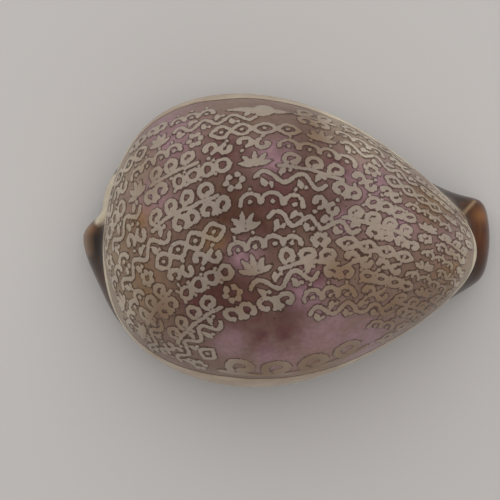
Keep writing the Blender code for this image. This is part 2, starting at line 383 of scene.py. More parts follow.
# Each zone is rounded as finely as it needs, and then they are joined again along the rings they share. On a
# shared ring the coarser zone's edges are cut in two, so that its points meet those of the finer zone.
back, base, lips, brink, inside = [rounded_zone(cage, zone) for zone in ROUNDINGS]
bpy.data.objects.remove(cage)
throat_number = [zone for _, zone in rings].index(BRINK)
cut_edges(base, lambda edge, numbers: edge.is_boundary)
cut_edges(lips, lambda edge, numbers: abs(numbers[0] - numbers[1]) < SAME_RING)
cut_edges(brink, lambda edge, numbers: max(numbers) < throat_number + SAME_RING)
cut_edges(inside, lambda edge, numbers: edge.is_boundary)
pick(back)
for part in (base, lips, brink, inside):
    part.select_set(True)
bpy.ops.object.join()
shell = bpy.context.object
shell.name = "engraved_shell"
shell.data.name = "engraved_shell"
bpy.ops.object.mode_set(mode="EDIT")
bpy.ops.mesh.select_mode(type="VERT")
bpy.ops.mesh.select_all(action="DESELECT")
bpy.ops.mesh.select_non_manifold()
bpy.ops.mesh.remove_doubles(threshold=SEAM_GAP * MM)
bpy.ops.object.mode_set(mode="OBJECT")

# It is brought to the real shell's box, and the same scale and move are kept for the engraving.
low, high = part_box("cowrie_shell")
corners = np.array([vert.co for vert in shell.data.vertices])
size = corners.max(axis=0) - [*corners.min(axis=0)[:2], 0.0]
shell.scale = [(high[axis] - low[axis]) / size[axis] for axis in range(3)]
middle = (corners.max(axis=0) + corners.min(axis=0)) / 2
shell.location = (-middle[0] * shell.scale[0], -middle[1] * shell.scale[1], 0.0)
fit_scale = np.array([*shell.scale])
fit_move = np.array([*shell.location]) / MM
bpy.ops.object.transform_apply(location=True, rotation=False, scale=True)

# The teeth
# Each lip of the slit is thickened into a row of rounded ridges, which the snail laid down when it was full
# grown. They are one with the lip, longer on the outer lip than on the inner one, and fade at both ends.
OUTER_TEETH = 22
INNER_TEETH = 19
OUTER_TOOTH_LENGTH = 8.0
INNER_TOOTH_LENGTH = 6.6
TEETH_REAR_X = -30.5
TEETH_FRONT_X = 33.5
TOOTH_RISE = 0.45
GROOVE_DEPTH = 0.7

# How broad the ridges are for their grooves, the share by which the end ones are shorter, the length over
# which each fades into the base, and the heights between which it fades in the slit
TOOTH_ROUNDNESS = 0.75
TOOTH_SHORTENING = 0.45
TOOTH_FADE = 2.6
TOOTH_TOP_HEIGHTS = (3.4, 5.4)


def points_mm(mesh):
    """The mesh's points as rows of x, y and z in millimetres."""
    flat = np.empty(3 * len(mesh.vertices))
    mesh.vertices.foreach_get("co", flat)
    return flat.reshape(-1, 3) / MM


def slope_along(values, share):
    """How fast the smooth curve through those values changes with the share."""
    steps = np.linspace(-1, 1, len(values))
    return np.polyval(np.polyder(np.polyfit(steps, values, len(values) - 1)), share)


def smooth_step(value, start, end):
    """0 before the start, 1 past the end, and a smooth rise between them."""
    share = np.clip((value - start) / (end - start), 0, 1)
    return share * share * (3 - 2 * share)


def teeth_on(points):
    """How far up a ridge each point is, 0 in the grooves and 1 on top, and how fully the row shows there."""
    half_length = (SLIT_FRONT_X - SLIT_REAR_X) / 2
    x, y, z = points.T
    share = np.clip((x - (SLIT_FRONT_X + SLIT_REAR_X) / 2) / half_length, -1, 1)
    aside = y - along(SLIT_LINE, share)
    past_edge = np.abs(aside) - along(SLIT_HALF_WIDTHS, share)
    across = x + slope_along(SLIT_LINE, share) / half_length * np.sign(aside) * past_edge
    outer = aside < 0
    pitch = (TEETH_FRONT_X - TEETH_REAR_X) / (np.where(outer, OUTER_TEETH, INNER_TEETH) - 1)
    ridge = (0.5 + 0.5 * np.cos(2 * pi * (across - TEETH_REAR_X) / pitch)) ** TOOTH_ROUNDNESS
    length = np.where(outer, OUTER_TOOTH_LENGTH, INNER_TOOTH_LENGTH)
    length = length * (1 - TOOTH_SHORTENING * share**RISE_POWER)
    fade = 1 - smooth_step(past_edge, length - TOOTH_FADE, length)
    fade *= 1 - smooth_step(z, *TOOTH_TOP_HEIGHTS)
    ends = smooth_step(x, TEETH_REAR_X - pitch, TEETH_REAR_X)
    ends *= 1 - smooth_step(x, TEETH_FRONT_X, TEETH_FRONT_X + pitch)
    return ridge, fade * ends


def raise_surface(shell, name, weights, height):
    """Moves the surface out by the height in millimetres, or in where it is negative, times the weights."""
    group = shell.vertex_groups.new(name=name)
    for index in np.flatnonzero(weights > 0):
        group.add([int(index)], float(weights[index]), "REPLACE")
    relief = shell.modifiers.new(name, "DISPLACE")
    relief.vertex_group = name
    relief.direction = "NORMAL"
    relief.mid_level = 0.0
    relief.strength = height * MM
    bpy.ops.object.modifier_apply(modifier=name)
    shell.vertex_groups.clear()


on_lips = np.zeros(len(shell.data.vertices))
on_inside = np.zeros(len(shell.data.vertices))
for face, zone in zip(shell.data.polygons, shell.data.attributes["zone"].data):
    if zone.value in (LIPS, BRINK):
        on_lips[list(face.vertices)] = 1
    if zone.value in (BRINK, INSIDE):
        on_inside[list(face.vertices)] = 1
for name in ("turn", "ring", "zone"):
    shell.data.attributes.remove(shell.data.attributes[name])
ridge, showing = teeth_on(points_mm(shell.data))
showing = showing * on_lips
raise_surface(shell, "ridges", ridge * showing, TOOTH_RISE)
raise_surface(shell, "grooves", (1 - ridge) * showing, -GROOVE_DEPTH)

# The shell lies flat where the base is worn level.
bpy.ops.object.mode_set(mode="EDIT")
bpy.ops.mesh.select_all(action="DESELECT")
bm = bmesh.from_edit_mesh(shell.data)
for vert in bm.verts:
    vert.select_set(vert.co.z < 0)
bpy.ops.transform.resize(value=(1, 1, 0), center_override=(0, 0, 0))
bpy.ops.object.mode_set(mode="OBJECT")


# The engraving
# The polished back was drawn on with a wax pen, in rows of scrollwork, and then etched, so the rows stand
# proud in the pale outer layer and the ground shows the plum layer under it. The drawing is laid out flat: u
# to the front and v to the inner-lip side, in millimetres over the surface from the summit.

# The pen's half width, and the rows: arcs round one centre, each a pitch further out than the last, with how
# large the motifs are drawn, the half height that has to fit inside the border, and the gap between groups
PEN = 0.46
ROW_PITCH = 3.95
ROW_CENTRE = (6.0, -42.0)
FIRST_ROW_RADIUS = 15.3
ROW_COUNT = 17
ROW_SIZE = 1.02
HALF_ROW = 1.8
GROUP_GAP = 1.1

# Shares of the pen's half width: where a curl starts and by how much it swells to its ball, and a leaf's
# stalk and belly, with how far the belly lies past its middle, as a power
CURL_START = 0.9
CURL_SWELL = 0.35
LEAF_STALK = 0.35
LEAF_BELLY = 1.25
LEAF_LEAN = 1.3

# How far each row could reach to both sides and in what steps it is tried, in degrees, and how many groups
# of ornaments later each row starts than the one before
ROW_REACH = 110
ROW_STEP = 0.5
ROW_SHIFT = 3

# How finely the drawing is worked out: points of a motif's curves, the step between points along a stroke,
# and how many steps a line from the summit and the whole turn have
CURL_POINTS = 24
LEAF_POINTS = 12
VINE_POINTS = 30
BRAID_POINTS = 20
SAMPLE_STEP = 0.12
TILT_STEPS = 60
TURN_STEPS = 360

# The thin scratched border of the field: its height on the outer-lip and inner-lip side, its height at the
# rear and front end and how steadily it falls to them, the gap left inside it, its width and its wobble
BORDER_SIDE_HEIGHTS = (25.6, 22.6)
BORDER_SIDE_BLEND = 8.0
BORDER_END_HEIGHTS = (17.6, 18.8)
BORDER_FALLS = (2.0, 1.1)
BORDER_GAP = 0.8
BORDER_LINE_WIDTH = 0.3
BORDER_WOBBLE = 0.9
WOBBLE_LENGTH = 7.0

# Where the border runs higher and leaves a bare ledge, at the rear and the front end: how much higher, where
# and how wide, and how close to the ends it stays
LEDGE_RISES = (5.0, 4.6)
LEDGE_MIDDLES = (-8.0, -2.5)
LEDGE_WIDTHS = (7.0, 4.5)
LEDGE_POWER = 8

# Places kept free of rows, as a middle and half sizes: the plain glossy patch, the frieze and the leaf spray
PLAIN_PATCH = (1.5, -20.0, 13.5, 4.2)
FRIEZE_PATCH = (3.0, -27.4, 16.0, 6.0)
SPRAY_PATCH = (-4.5, 30.2, 7.0, 3.0)

# The frieze: an arc of large waves
FRIEZE_CENTRE = (1.4, 11.2)
FRIEZE_RADIUS = 40.0
FRIEZE_WAVES = 4
FRIEZE_SIZE = 1.8

# The leaf spray: two bold curls side by side, and leaves that point at them, each with its stalk's place
# from the curls' middle, its heading in degrees, its length and its pen
SPRAY_CURL_SHIFTS = (-0.7, 0.7)
SPRAY_CURL_RADII = (1.1, 0.1)
SPRAY_CURL_SWEEP = 720
SPRAY_PEN = 0.9
SPRAY_LEAVES = ((-7.0, -0.4, 5, 6.5, 0.6), (4.8, 0.6, 186, 4.0, 0.5))

# How much slimmer the drawing gets towards the front, and between which distances from a row's centre line
SLIMMING = 0.3
SLIM_FROM = 6.0
SLIM_TO = 34.0

# How the hand shook, how ragged the wax left the edges, how deep and steep the ground was bitten, and how
# far from a stroke's middle and how far outside the border this is worked out
SHAKE = 0.28
SHAKE_LENGTH = 3.1
SHAKE_PLANES = (0.0, 40.0)
RAGGEDNESS = 0.1
RAG_LENGTH = 0.75
ETCH_DEPTH = 0.16
ETCH_SLOPE = 0.4
STROKE_REACH = 1.2
BORDER_REACH = 1.0


def stroke(x, y, half_width):
    """Points along one stroke, each with the stroke's half width there."""
    return np.stack(np.broadcast_arrays(x, y, half_width), axis=-1).astype(float)


def curl(x, y, radius, end_radius, start, sweep, pen=PEN):
    """A stroke that winds in round a point, from a start angle through a sweep, and ends in a ball."""
    t = np.linspace(0, 1, CURL_POINTS)
    angle = np.radians(start + sweep * t)
    reach = radius + (end_radius - radius) * t
    swelling = pen * (CURL_START + CURL_SWELL * t**3)
    return stroke(x + reach * np.cos(angle), y + reach * np.sin(angle), swelling)


def leaf(x, y, heading, length, pen=PEN):
    """A drop-shaped stroke from its stalk at a point, fattest past its middle."""
    t = np.linspace(0, 1, LEAF_POINTS)
    reach = length * t
    fatness = pen * (LEAF_STALK + LEAF_BELLY * np.sin(pi * t**LEAF_LEAN))
    return stroke(x + reach * np.cos(radians(heading)), y + reach * np.sin(radians(heading)), fatness)


def bead(x, y, radius):
    """A round dot."""
    return stroke([x, x], [y, y], radius)


# Each motif gives its width and its strokes in millimetres, x from its left end and y from the middle line.
def wave():
    """A breaking wave over a ribbon."""
    return 3.7, [curl(2.0, 0.15, 1.45, 0.75, 228, -315), stroke([0, 3.7], -1.6, 0.36)]


def vine():
    """A winding stem with a leaf and a berry in each bend."""
    t = np.linspace(0, 1, VINE_POINTS)
    stem = stroke(5.6 * t, 1.1 * np.sin(2 * pi * t), 0.4)
    leaves = [leaf(0.9, -0.2, -70, 1.7, 0.36), leaf(3.7, 0.2, 70, 1.7, 0.36)]
    return 5.6, [stem, *leaves, bead(2.3, -1.35, 0.4), bead(5.1, 1.35, 0.4)]


def scallop():
    """An arch over a pearl, with a smaller pearl on top."""
    arch = curl(1.65, -0.9, 1.55, 1.55, 185, -190, 0.4)
    return 3.3, [arch, bead(1.65, -0.9, 0.42), bead(1.65, 1.75, 0.34)]


def chain():
    """A ring linked to the next one, with a small bead above and below the link."""
    return 2.9, [curl(1.45, 0, 1.2, 1.2, 0, 360, 0.4), bead(0, 1.4, 0.34), bead(0, -1.4, 0.34)]


def rosette():
    """Six petals round a pit."""
    turns = np.arange(6) * pi / 3
    return 4.3, [bead(2.15 + 1.3 * np.cos(turn), 1.3 * np.sin(turn), 0.6) for turn in turns]


def lyre():
    """Two curls back to back, with a bud between them."""
    left = curl(1.5, 0.3, 1.4, 0.8, -50, 300)
    right = curl(4.5, 0.3, 1.4, 0.8, 230, -300)
    return 6.0, [left, right, leaf(3.0, -1.5, 90, 3.0, 0.34)]


def fan():
    """Five leaves spread from one foot."""
    headings = (22, 56, 90, 124, 158)
    lengths = [2.5 + 0.9 * np.sin(radians(heading)) for heading in headings]
    return 5.2, [leaf(2.6, -1.6, heading, length, 0.32) for heading, length in zip(headings, lengths)]


def braid():
    """Two strands that cross, with a pearl in the eye."""
    t = np.linspace(0, 1, BRAID_POINTS)
    strands = [stroke(3.8 * t, side * 1.5 * np.sin(pi * t), 0.4) for side in (-1, 1)]
    return 3.8, [*strands, bead(1.9, 0, 0.4)]


def double_curl():
    """A bar that curls up at one end and down at the other, with a bead over each curl."""
    curls = [curl(1.5, 0.45, 1.25, 0.7, -70, 260), curl(4.5, -0.45, 1.25, 0.7, 110, 260)]
    bar = stroke([1.95, 4.05], [-0.7, 0.7], 0.4)
    return 6.0, [*curls, bar, bead(4.6, 1.6, 0.38), bead(1.2, -1.6, 0.38)]


# What the rows are made of, in the order it was drawn, and how many of each stand together
ORNAMENTS = (
    (wave, 4), (rosette, 1), (vine, 2), (lyre, 1), (chain, 4), (fan, 1), (wave, 3), (double_curl, 2),
    (scallop, 4), (rosette, 1), (braid, 4), (fan, 1), (vine, 3), (lyre, 2), (scallop, 3), (double_curl, 1),
)


def straight_row(length, first):
    """The motifs of a row of that length, beginning with a given group, each moved to its place along it."""
    motifs = []
    x, number = 0.0, first
    while x < length:
        motif, count = ORNAMENTS[number % len(ORNAMENTS)]
        for _ in range(count):
            width, parts = motif()
            if x + width > length:
                return [[part + ((length - x) / 2, 0, 0) for part in parts] for parts in motifs]
            motifs.append([part + (x, 0, 0) for part in parts])
            x += width
        x += GROUP_GAP
        number += 1
    return motifs


def bent(part, centre, radius, up=1, size=1.0):
    """A stroke of a straight row bent round a centre, slimmer towards the front, where the back narrows.

    Up is 1 where the row's top is on the outside of the bend, and -1 where it is inside."""
    x, y, half_width = part.T
    angle = size * x / radius
    slim = size * (1 - SLIMMING * smooth_step(radius * np.sin(angle), SLIM_FROM, SLIM_TO))
    reach = radius + up * slim * y
    u = centre[0] + reach * np.sin(angle)
    v = centre[1] + up * reach * np.cos(angle)
    return stroke(u, v, half_width * slim)


def is_in(patch, u, v):
    """Whether a place of the drawing is in that patch."""
    return ((u - patch[0]) / patch[2]) ** 2 + ((v - patch[1]) / patch[3]) ** 2 < 1


def border_height(points):
    """The height of the scratched border above each point of the shell."""
    x, y, _ = points.T
    outer, inner = BORDER_SIDE_HEIGHTS
    side = (outer + inner) / 2 + (inner - outer) / 2 * np.tanh(y / BORDER_SIDE_BLEND)
    rear = x < SUMMIT[0]
    share = np.clip((x - SUMMIT[0]) / (np.where(rear, BACK_REAR_X, BACK_FRONT_X) - SUMMIT[0]), 0, 1)
    ledge = bump(y - np.where(rear, *LEDGE_MIDDLES), np.where(rear, *LEDGE_WIDTHS)) * share**LEDGE_POWER
    fall = share ** np.where(rear, *BORDER_FALLS)
    return side + (np.where(rear, *BORDER_END_HEIGHTS) - side) * fall + np.where(rear, *LEDGE_RISES) * ledge


def meridians(turn):
    """Lines down the back from the summit in each direction: their points, and how far along each lies."""
    points = np.stack([back_points(turn, tilt) for tilt in np.linspace(0, pi / 2, TILT_STEPS + 1)])
    lengths = np.zeros(points.shape[:2])
    lengths[1:] = np.cumsum(np.linalg.norm(np.diff(points, axis=0), axis=2), axis=0)
    return points, lengths


def on_back(u, v):
    """The points of the back at those places of the drawing."""
    points, lengths = meridians(np.arctan2(v, u))
    reach = np.hypot(u, v)
    column = np.arange(len(reach))
    step = np.clip((lengths < reach).sum(axis=0), 1, len(lengths) - 1)
    start, end = lengths[step - 1, column], lengths[step, column]
    return between(points[step - 1, column], points[step, column], (reach - start) / (end - start))


def resampled(part):
    """The stroke with a point at every sample step."""
    travelled = np.concatenate([[0], np.cumsum(np.hypot(*np.diff(part[:, :2], axis=0).T))])
    steps = np.linspace(0, travelled[-1], int(travelled[-1] / SAMPLE_STEP) + 2)
    return np.stack([np.interp(steps, travelled, column) for column in part.T], axis=1)


def shaken(u, v, plane):
    """How far the hand strayed at a place of the drawing, in one direction for each plane of the noise."""
    return noise.noise((u / SHAKE_LENGTH, v / SHAKE_LENGTH, plane))


# How far the field reaches in each direction
directions = np.linspace(-pi, pi, TURN_STEPS + 1)
points, lengths = meridians(directions)
steps_inside = (points[:, :, 2] > np.stack([border_height(step) for step in points])).sum(axis=0)
field_reach = lengths[np.clip(steps_inside - 1, 0, TILT_STEPS), np.arange(TURN_STEPS + 1)]

# The rows, each as long as it stays inside the border, and none of them in the places kept free
strokes = []
for row in range(ROW_COUNT):
    radius = FIRST_ROW_RADIUS + ROW_PITCH * row
    angles = np.radians(np.arange(-ROW_REACH, ROW_REACH, ROW_STEP))
    inside = np.ones(len(angles), bool)
    for side in (-HALF_ROW, HALF_ROW):
        u = ROW_CENTRE[0] + (radius + side) * np.sin(angles)
        v = ROW_CENTRE[1] + (radius + side) * np.cos(angles)
        inside &= np.hypot(u, v) < np.interp(np.arctan2(v, u), directions, field_reach) - BORDER_GAP
    if not inside.any():
        continue
    start, end = radius * angles[inside][[0, -1]]
    for motif in straight_row((end - start) / ROW_SIZE, row * ROW_SHIFT):
        moved = [part + (start / ROW_SIZE, 0, 0) for part in motif]
        parts = [bent(part, ROW_CENTRE, radius, size=ROW_SIZE) for part in moved]
        u, v, _ = np.concatenate(parts).mean(axis=0)
        if not any(is_in(patch, u, v) for patch in (PLAIN_PATCH, FRIEZE_PATCH, SPRAY_PATCH)):
            strokes += parts

# The frieze of large waves by the border, and the leaf spray opposite it
width, parts = wave()
for number in range(FRIEZE_WAVES):
    moved = [part + (width * (number - FRIEZE_WAVES / 2), 0, 0) for part in parts]
    strokes += [bent(part, FRIEZE_CENTRE, FRIEZE_RADIUS, -1, FRIEZE_SIZE) for part in moved]
u, v = SPRAY_PATCH[:2]
for shift in SPRAY_CURL_SHIFTS:
    strokes.append(curl(u, v + shift, *SPRAY_CURL_RADII, 0, SPRAY_CURL_SWEEP, SPRAY_PEN))
for x, y, heading, length, pen in SPRAY_LEAVES:
    strokes.append(leaf(u + x, v + y, heading, length, pen))

# Each point of the shell learns how far outside the nearest stroke's edge it is, in millimetres
drawing = np.concatenate([resampled(part) for part in strokes])
shake = np.array([[shaken(u, v, plane) for plane in SHAKE_PLANES] for u, v, _ in drawing])
centres = on_back(drawing[:, 0] + SHAKE * shake[:, 0], drawing[:, 1] + SHAKE * shake[:, 1])
centres = centres * fit_scale + fit_move
tree = kdtree.KDTree(len(centres))
for index, centre in enumerate(centres):
    tree.insert(centre, index)
tree.balance()
half_widths = drawing[:, 2]
points = points_mm(shell.data)
wobble = np.array([noise.noise(point / WOBBLE_LENGTH) for point in points])
inside_border = points[:, 2] - border_height(points) + BORDER_WOBBLE * wobble
from_stroke = np.full(len(points), STROKE_REACH)
for index in np.flatnonzero(inside_border > -BORDER_REACH):
    point = points[index]
    near = tree.find_range(point, STROKE_REACH)
    if near:
        rag = RAGGEDNESS * noise.noise(point / RAG_LENGTH)
        from_stroke[index] = min(distance - half_widths[number] for _, number, distance in near) + rag

# The ground inside the border is bitten away between the strokes, and the border itself is a thin groove
bitten = smooth_step(from_stroke, 0, ETCH_SLOPE) * smooth_step(inside_border, 0, ETCH_SLOPE)
raise_surface(shell, "etching", np.maximum(bitten, bump(inside_border, BORDER_LINE_WIDTH)), -ETCH_DEPTH)


def keep_attribute(shell, name, values):
    """Stores one number for each point of the shell, for the material to read."""
    shell.data.attributes.new(name, "FLOAT", "POINT").data.foreach_set("value", values)


keep_attribute(shell, "from_stroke", from_stroke)
keep_attribute(shell, "inside_border", inside_border)
bpy.ops.object.shade_smooth()

# The shell's finish
# Polished cowrie shell: aragonite in thin coats, as hard as glazed china. The eye sees plum and brown coats
# through the etched ground, a grey-cream outer coat in the strokes, and bare cream outside the border. The
# margin, the beak and the knob keep the snail's own dark chestnut gloss, and the mouth is pale violet.
SHELL_IOR = 1.6
SPECULAR_LEVEL = 0.22
STROKE_ROUGHNESS = 0.38
GROUND_ROUGHNESS = 0.27
CHESTNUT_ROUGHNESS = 0.22
RIPPLE_HEIGHT = 0.05

# How far the wax ran at the strokes' edges, and the values between which nearly all of a noise texture lies
EDGE_RAG = 0.13
NOISE_LOW = 0.3
NOISE_HIGH = 0.7

# Where a coat shows through more: x, y and how far it spreads, in millimetres from the origin. The heart is
# the dark middle of the back, partly its own darker colour and partly a painted dark reflection from
# overhead. The faded strokes are partly worn brown and partly painted shade on the lower, less lit side. The
# pale places are partly paler shell at the ends and partly painted light and reflection at the rims and the
# upper right. The lit, highlit and dark places of the chestnut are painted light, a painted highlight and
# painted shade on the beak and the knob.
PATCHES = {
    "mauve": (
        (-22, 20, 6), (-3, 15, 4), (14, 11, 6), (20, 3, 4), (-26, 7, 5), (3, -9, 4), (-11, -19, 3),
        (7, -17, 5), (31, -1, 4), (-8, -3, 3), (10, 3, 3), (13, -19, 5), (1, -22.5, 3.5), (-4, -22, 3),
        (4, -19, 3),
    ),
    "plum": (
        (-5, -18, 3), (-1, -17.5, 3), (-8, -13, 4), (-16, -12, 4), (4, -6, 3), (9, 14, 3), (-2, 8, 4),
        (-12, 16, 4),
    ),
    "tan": ((-28, 3, 4), (-27, -9, 5), (31, -6, 5), (-14, 0, 2), (-33, -2, 4), (27, 7, 4), (5, -27, 6)),
    # The back's darker middle, partly its own colour and partly a painted dark reflection from overhead
    "heart_and_dark_reflection": ((-8, 4, 13), (-12, -8, 10), (0, -11, 6), (6, 6, 8), (0, 14, 8)),
    # Worn brown strokes, made stronger on the lower, less lit side as painted shade
    "faded": (
        (12, -9, 8), (18, -12, 8), (25, -12, 7), (12, -23, 7), (4, -24, 6), (-5, -24, 6), (-9, -9, 4),
        (-24, -14, 6), (4, 20, 5), (-28, 12, 4), (9, -6, 5),
    ),
    # Paler shell at the ends, with painted light and reflection on the rims and the upper right
    "pale_and_lit": (
        (-38.5, 7, 4.5), (-36, 5, 6), (-35.5, -4, 6), (-35, -10, 6), (-33, 13, 6), (-33, -14, 6),
        (34.8, 1, 3.6), (34.8, -5, 3.6), (30, 9, 3), (22, 16, 4), (14, 18, 4.5), (10, 23, 4),
        (33.5, -9, 2.5),
    ),
    # Painted light on the lit front face of the beak and on the knob
    "painted_lit_chestnut": ((38.6, 4.5, 3.0), (38.6, 0.0, 3.2), (-39.2, 2.2, 1.4)),
    # Painted highlights on the beak's front and on the knob
    "painted_highlight": ((38.7, 5.0, 1.5), (-39.2, 2.2, 1.2)),
    # Painted shade on the beak's side and lower faces, by the front ledge, and on the knob
    "painted_shade": (
        (33.0, 9.5, 3.0), (29.0, 11.0, 4.0), (36.3, -9.0, 3.6), (36.0, -2.5, 1.6), (36.3, -5.5, 1.8),
        (-37.4, 0.2, 2.4), (-36.8, -3.0, 2.2), (-35.6, 9.5, 1.2),
    ),
}

# Coats that show along a line instead: where it starts and ends, and how far the coat spreads from it. Both
# are painted highlights: a pale line along the beak's crest and a soft sheen along the knob's rim.
LINES = {
    # A painted highlight along the crest of the beak
    "painted_crest_highlight": ((34.6, 5.2), (37.6, 7.9), 0.32),
    # A painted highlight along the knob's rim
    "painted_rim_highlight": ((-40.6, 3.0), (-40.0, -2.2), 1.2),
}

# Heights between which the chestnut gives way to cream, at the sides and at the ends, and the same for the
# freckles and for the worn brown of the base
MARGIN_SIDE_FADE = (8.5, 11.5)
MARGIN_END_FADE = (14.0, 15.7)
FLANK_SIDE_FADE = (10.0, 19.0)
FLANK_END_FADE = (15.0, 21.0)
BASE_FADE = (0.2, 3.6)
END_FADE_POWER = 4

# The line along which the cream dips into the rear notch, how far it spreads, and how much lower it reaches
DIP_START = (-38.4, 5.6)
DIP_END = (-35.8, 12.0)
DIP_SPREAD = 2.8
DIP_DEPTH = 10.5

# Textures: what kind each is, the real size of its marks in millimetres, how many finer marks lie over them,
# and how it is stretched
TEXTURES = {
    "clouds": ("ShaderNodeTexNoise", 7.0, 3.0, (1, 1, 1)),
    "blotches": ("ShaderNodeTexNoise", 3.5, 3.0, (1, 1, 1)),
    "mottles": ("ShaderNodeTexNoise", 2.2, 3.0, (1, 1, 1)),
    "grain": ("ShaderNodeTexNoise", 0.9, 3.0, (1, 1, 1)),
    "rag": ("ShaderNodeTexNoise", 0.6, 3.0, (1, 1, 1)),
    "streaks": ("ShaderNodeTexNoise", 1.1, 3.0, (1, 0.22, 0.5)),
    "pits": ("ShaderNodeTexVoronoi", 1.9, 0.0, (1, 1, 1)),
    "freckles": ("ShaderNodeTexVoronoi", 3.4, 0.0, (1, 1, 1)),
}

# Coats of colour, each over the ones before it: the colour, its strength, and the attributes and textures
# that it goes by, each with the value at which the coat begins there and the value at which it is full

# The etched ground is brown, darkest in the heart of the back, where a dark reflection is painted in, with
# mauve, tan and plum coats in clouds, and paler at the ends and rims, partly with painted light
GROUND = "#826a5c"
GROUND_COATS = (
    ("#43251a", 1.0, ("heart_and_dark_reflection", 0, 1), ("blotches", -0.55, 0.65)),
    ("#5a3a2c", 0.3, ("clouds", 0.35, 0.65)),
    ("#9a7880", 0.95, ("mauve", 0, 0.9), ("blotches", 0.1, 0.6)),
    ("#8a683e", 0.9, ("tan", 0, 1), ("blotches", 0.2, 0.65)),
    ("#5a2a32", 0.8, ("plum", 0, 1), ("mottles", 0.2, 0.6)),
    ("#a39078", 0.75, ("pale_and_lit", 0.1, 0.9)),
    ("#33201a", 0.18, ("grain", 0.35, 0.65)),
)

# The strokes are the grey-cream outer coat, greyer over the heart with its painted dark reflection, browner
# where worn and where shade is painted on the lower side, and pale at the ends, partly with painted light
STROKES = "#a59789"
STROKE_COATS = (
    ("#82766b", 1.0, ("heart_and_dark_reflection", 0, 1), ("blotches", -0.55, 0.65)),
    ("#98805c", 0.6, ("tan", 0, 1), ("blotches", 0.2, 0.65)),
    ("#80664f", 1.0, ("faded", 0, 1)),
    ("#c9bca9", 0.8, ("pale_and_lit", 0.1, 0.9)),
    ("#7c6c60", 0.22, ("grain", 0.35, 0.65)),
)

# A thin dark line follows each stroke's edge: painted shade at the foot of each raised stroke, with some
# dirt in the etched step. The acid left dark pits in the ground
STROKE_EDGE = ("from_stroke", -0.05, 0.06)
ETCHED_COATS = (
    ("#35231b", 0.85, ("from_stroke", -0.02, 0.1), ("from_stroke", 0.34, 0.14)),
    ("#2a1a14", 0.8, ("pits", 0.13, 0.06), ("clouds", 0.35, 0.65)),
)

# Outside the border the shell is cream, with brown freckles low on its sides and paler ends and rims that
# are partly painted light, and the border is a dark line
CREAM = "#b5a48d"
CREAM_COATS = (
    ("#a08b74", 1.0, ("clouds", 0.35, 0.65)),
    ("#d6c9ae", 0.9, ("pale_and_lit", 0, 0.8)),
    ("#5b3b26", 1.0, ("freckles", 0.42, 0.3), ("flank", 0, 1), ("clouds", 0.35, 0.65)),
)
BORDER_EDGE = ("inside_border", -0.15, 0.1)
BORDER_COATS = (
    ("#4a372c", 1.0, ("inside_border", -0.3, -0.1), ("inside_border", 0.25, 0.05), ("pale_and_lit", 0.6, 0.1)),
)

# The margin, beak and knob are chestnut and streaked, with painted light and painted highlights on the faces
# turned to the light, painted shade, nearly black, on the faces and hollows turned away from it, and painted
# highlights along the beak's crest and the knob's rim
CHESTNUT = "#3e1d0a"
CHESTNUT_COATS = (
    ("#281105", 1.0, ("clouds", 0.35, 0.65)),
    ("#562a0b", 1.0, ("painted_lit_chestnut", 0, 1)),
    ("#8a5a30", 1.0, ("painted_highlight", 0, 1)),
    ("#100703", 0.95, ("painted_shade", 0, 1)),
    ("#8c745d", 0.8, ("base", 0, 1), ("clouds", -0.1, 0.65)),
    ("#4a2a18", 1.0, ("tooth", 0, 1)),
    ("#6e4524", 0.45, ("streaks", 0.45, 0.75)),
    ("#a88a66", 0.7, ("painted_crest_highlight", 0, 1)),
    ("#8a6f56", 0.8, ("painted_rim_highlight", 0, 1)),
)

# The inside of the shell, seen through the slit
MOUTH = "#b7aab0"


def colour(code):
    """An sRGB hex colour as the linear numbers that a material takes."""
    values = np.array([int(code[start : start + 2], 16) for start in (1, 3, 5)]) / 255
    return [*np.where(values > 0.04045, ((values + 0.055) / 1.055) ** 2.4, values / 12.92), 1.0]


def add_node(tree, kind, inputs, output=0, **settings):
    """Adds a node with those settings, its inputs set or linked, and gives back one of its outputs."""
    node = tree.nodes.new(kind)
    for name, value in settings.items():
        setattr(node, name, value)
    for name, value in inputs.items():
        if isinstance(value, bpy.types.NodeSocket):
            tree.links.new(value, node.inputs[name])
        else:
            node.inputs[name].default_value = value
    return node.outputs[output]


def coated(tree, under, coats, sources):
    """A colour with coats laid over it, each a colour or a finish, its strength and what it goes by.

    A Mix node of colours takes its factor at input 0 and its colours at 6 and 7, and gives output 2."""
    for over, amount, *shares in coats:
        for name, start, full in shares:
            inputs = {"Value": sources[name], "From Min": start, "From Max": full}
            share = add_node(tree, "ShaderNodeMapRange", inputs)
            amount = add_node(tree, "ShaderNodeMath", {0: amount, 1: share}, operation="MULTIPLY")
        over = colour(over) if isinstance(over, str) else over
        under = add_node(tree, "ShaderNodeMix", {0: amount, 6: under, 7: over}, 2, data_type="RGBA")
    return under


def patches(points, places):
    """How strongly a coat shows at each point, from its list of soft round patches."""
    x, y, _ = points.T
    return np.max([bump(np.hypot(x - px, y - py), size) for px, py, size in places], axis=0)


def from_segment(points, start, end):
    """How far each point is, seen from above, from the line between two places."""
    along_it = np.array(end) - start
    share = np.clip((points[:, :2] - start) @ along_it / (along_it @ along_it), 0, 1)
    return np.linalg.norm(points[:, :2] - start - np.outer(share, along_it), axis=1)


def below(points, side_fade, end_fade):
    """1 low on the shell and 0 higher up, with the heights of the change at the sides and at the ends."""
    x, _, z = points.T
    share = np.clip((x - SUMMIT[0]) / (np.where(x < SUMMIT[0], BACK_REAR_X, BACK_FRONT_X) - SUMMIT[0]), 0, 1)
    start, end = np.transpose(between(np.array(side_fade), np.array(end_fade), share**END_FADE_POWER))
    return 1 - smooth_step(z, start, end)


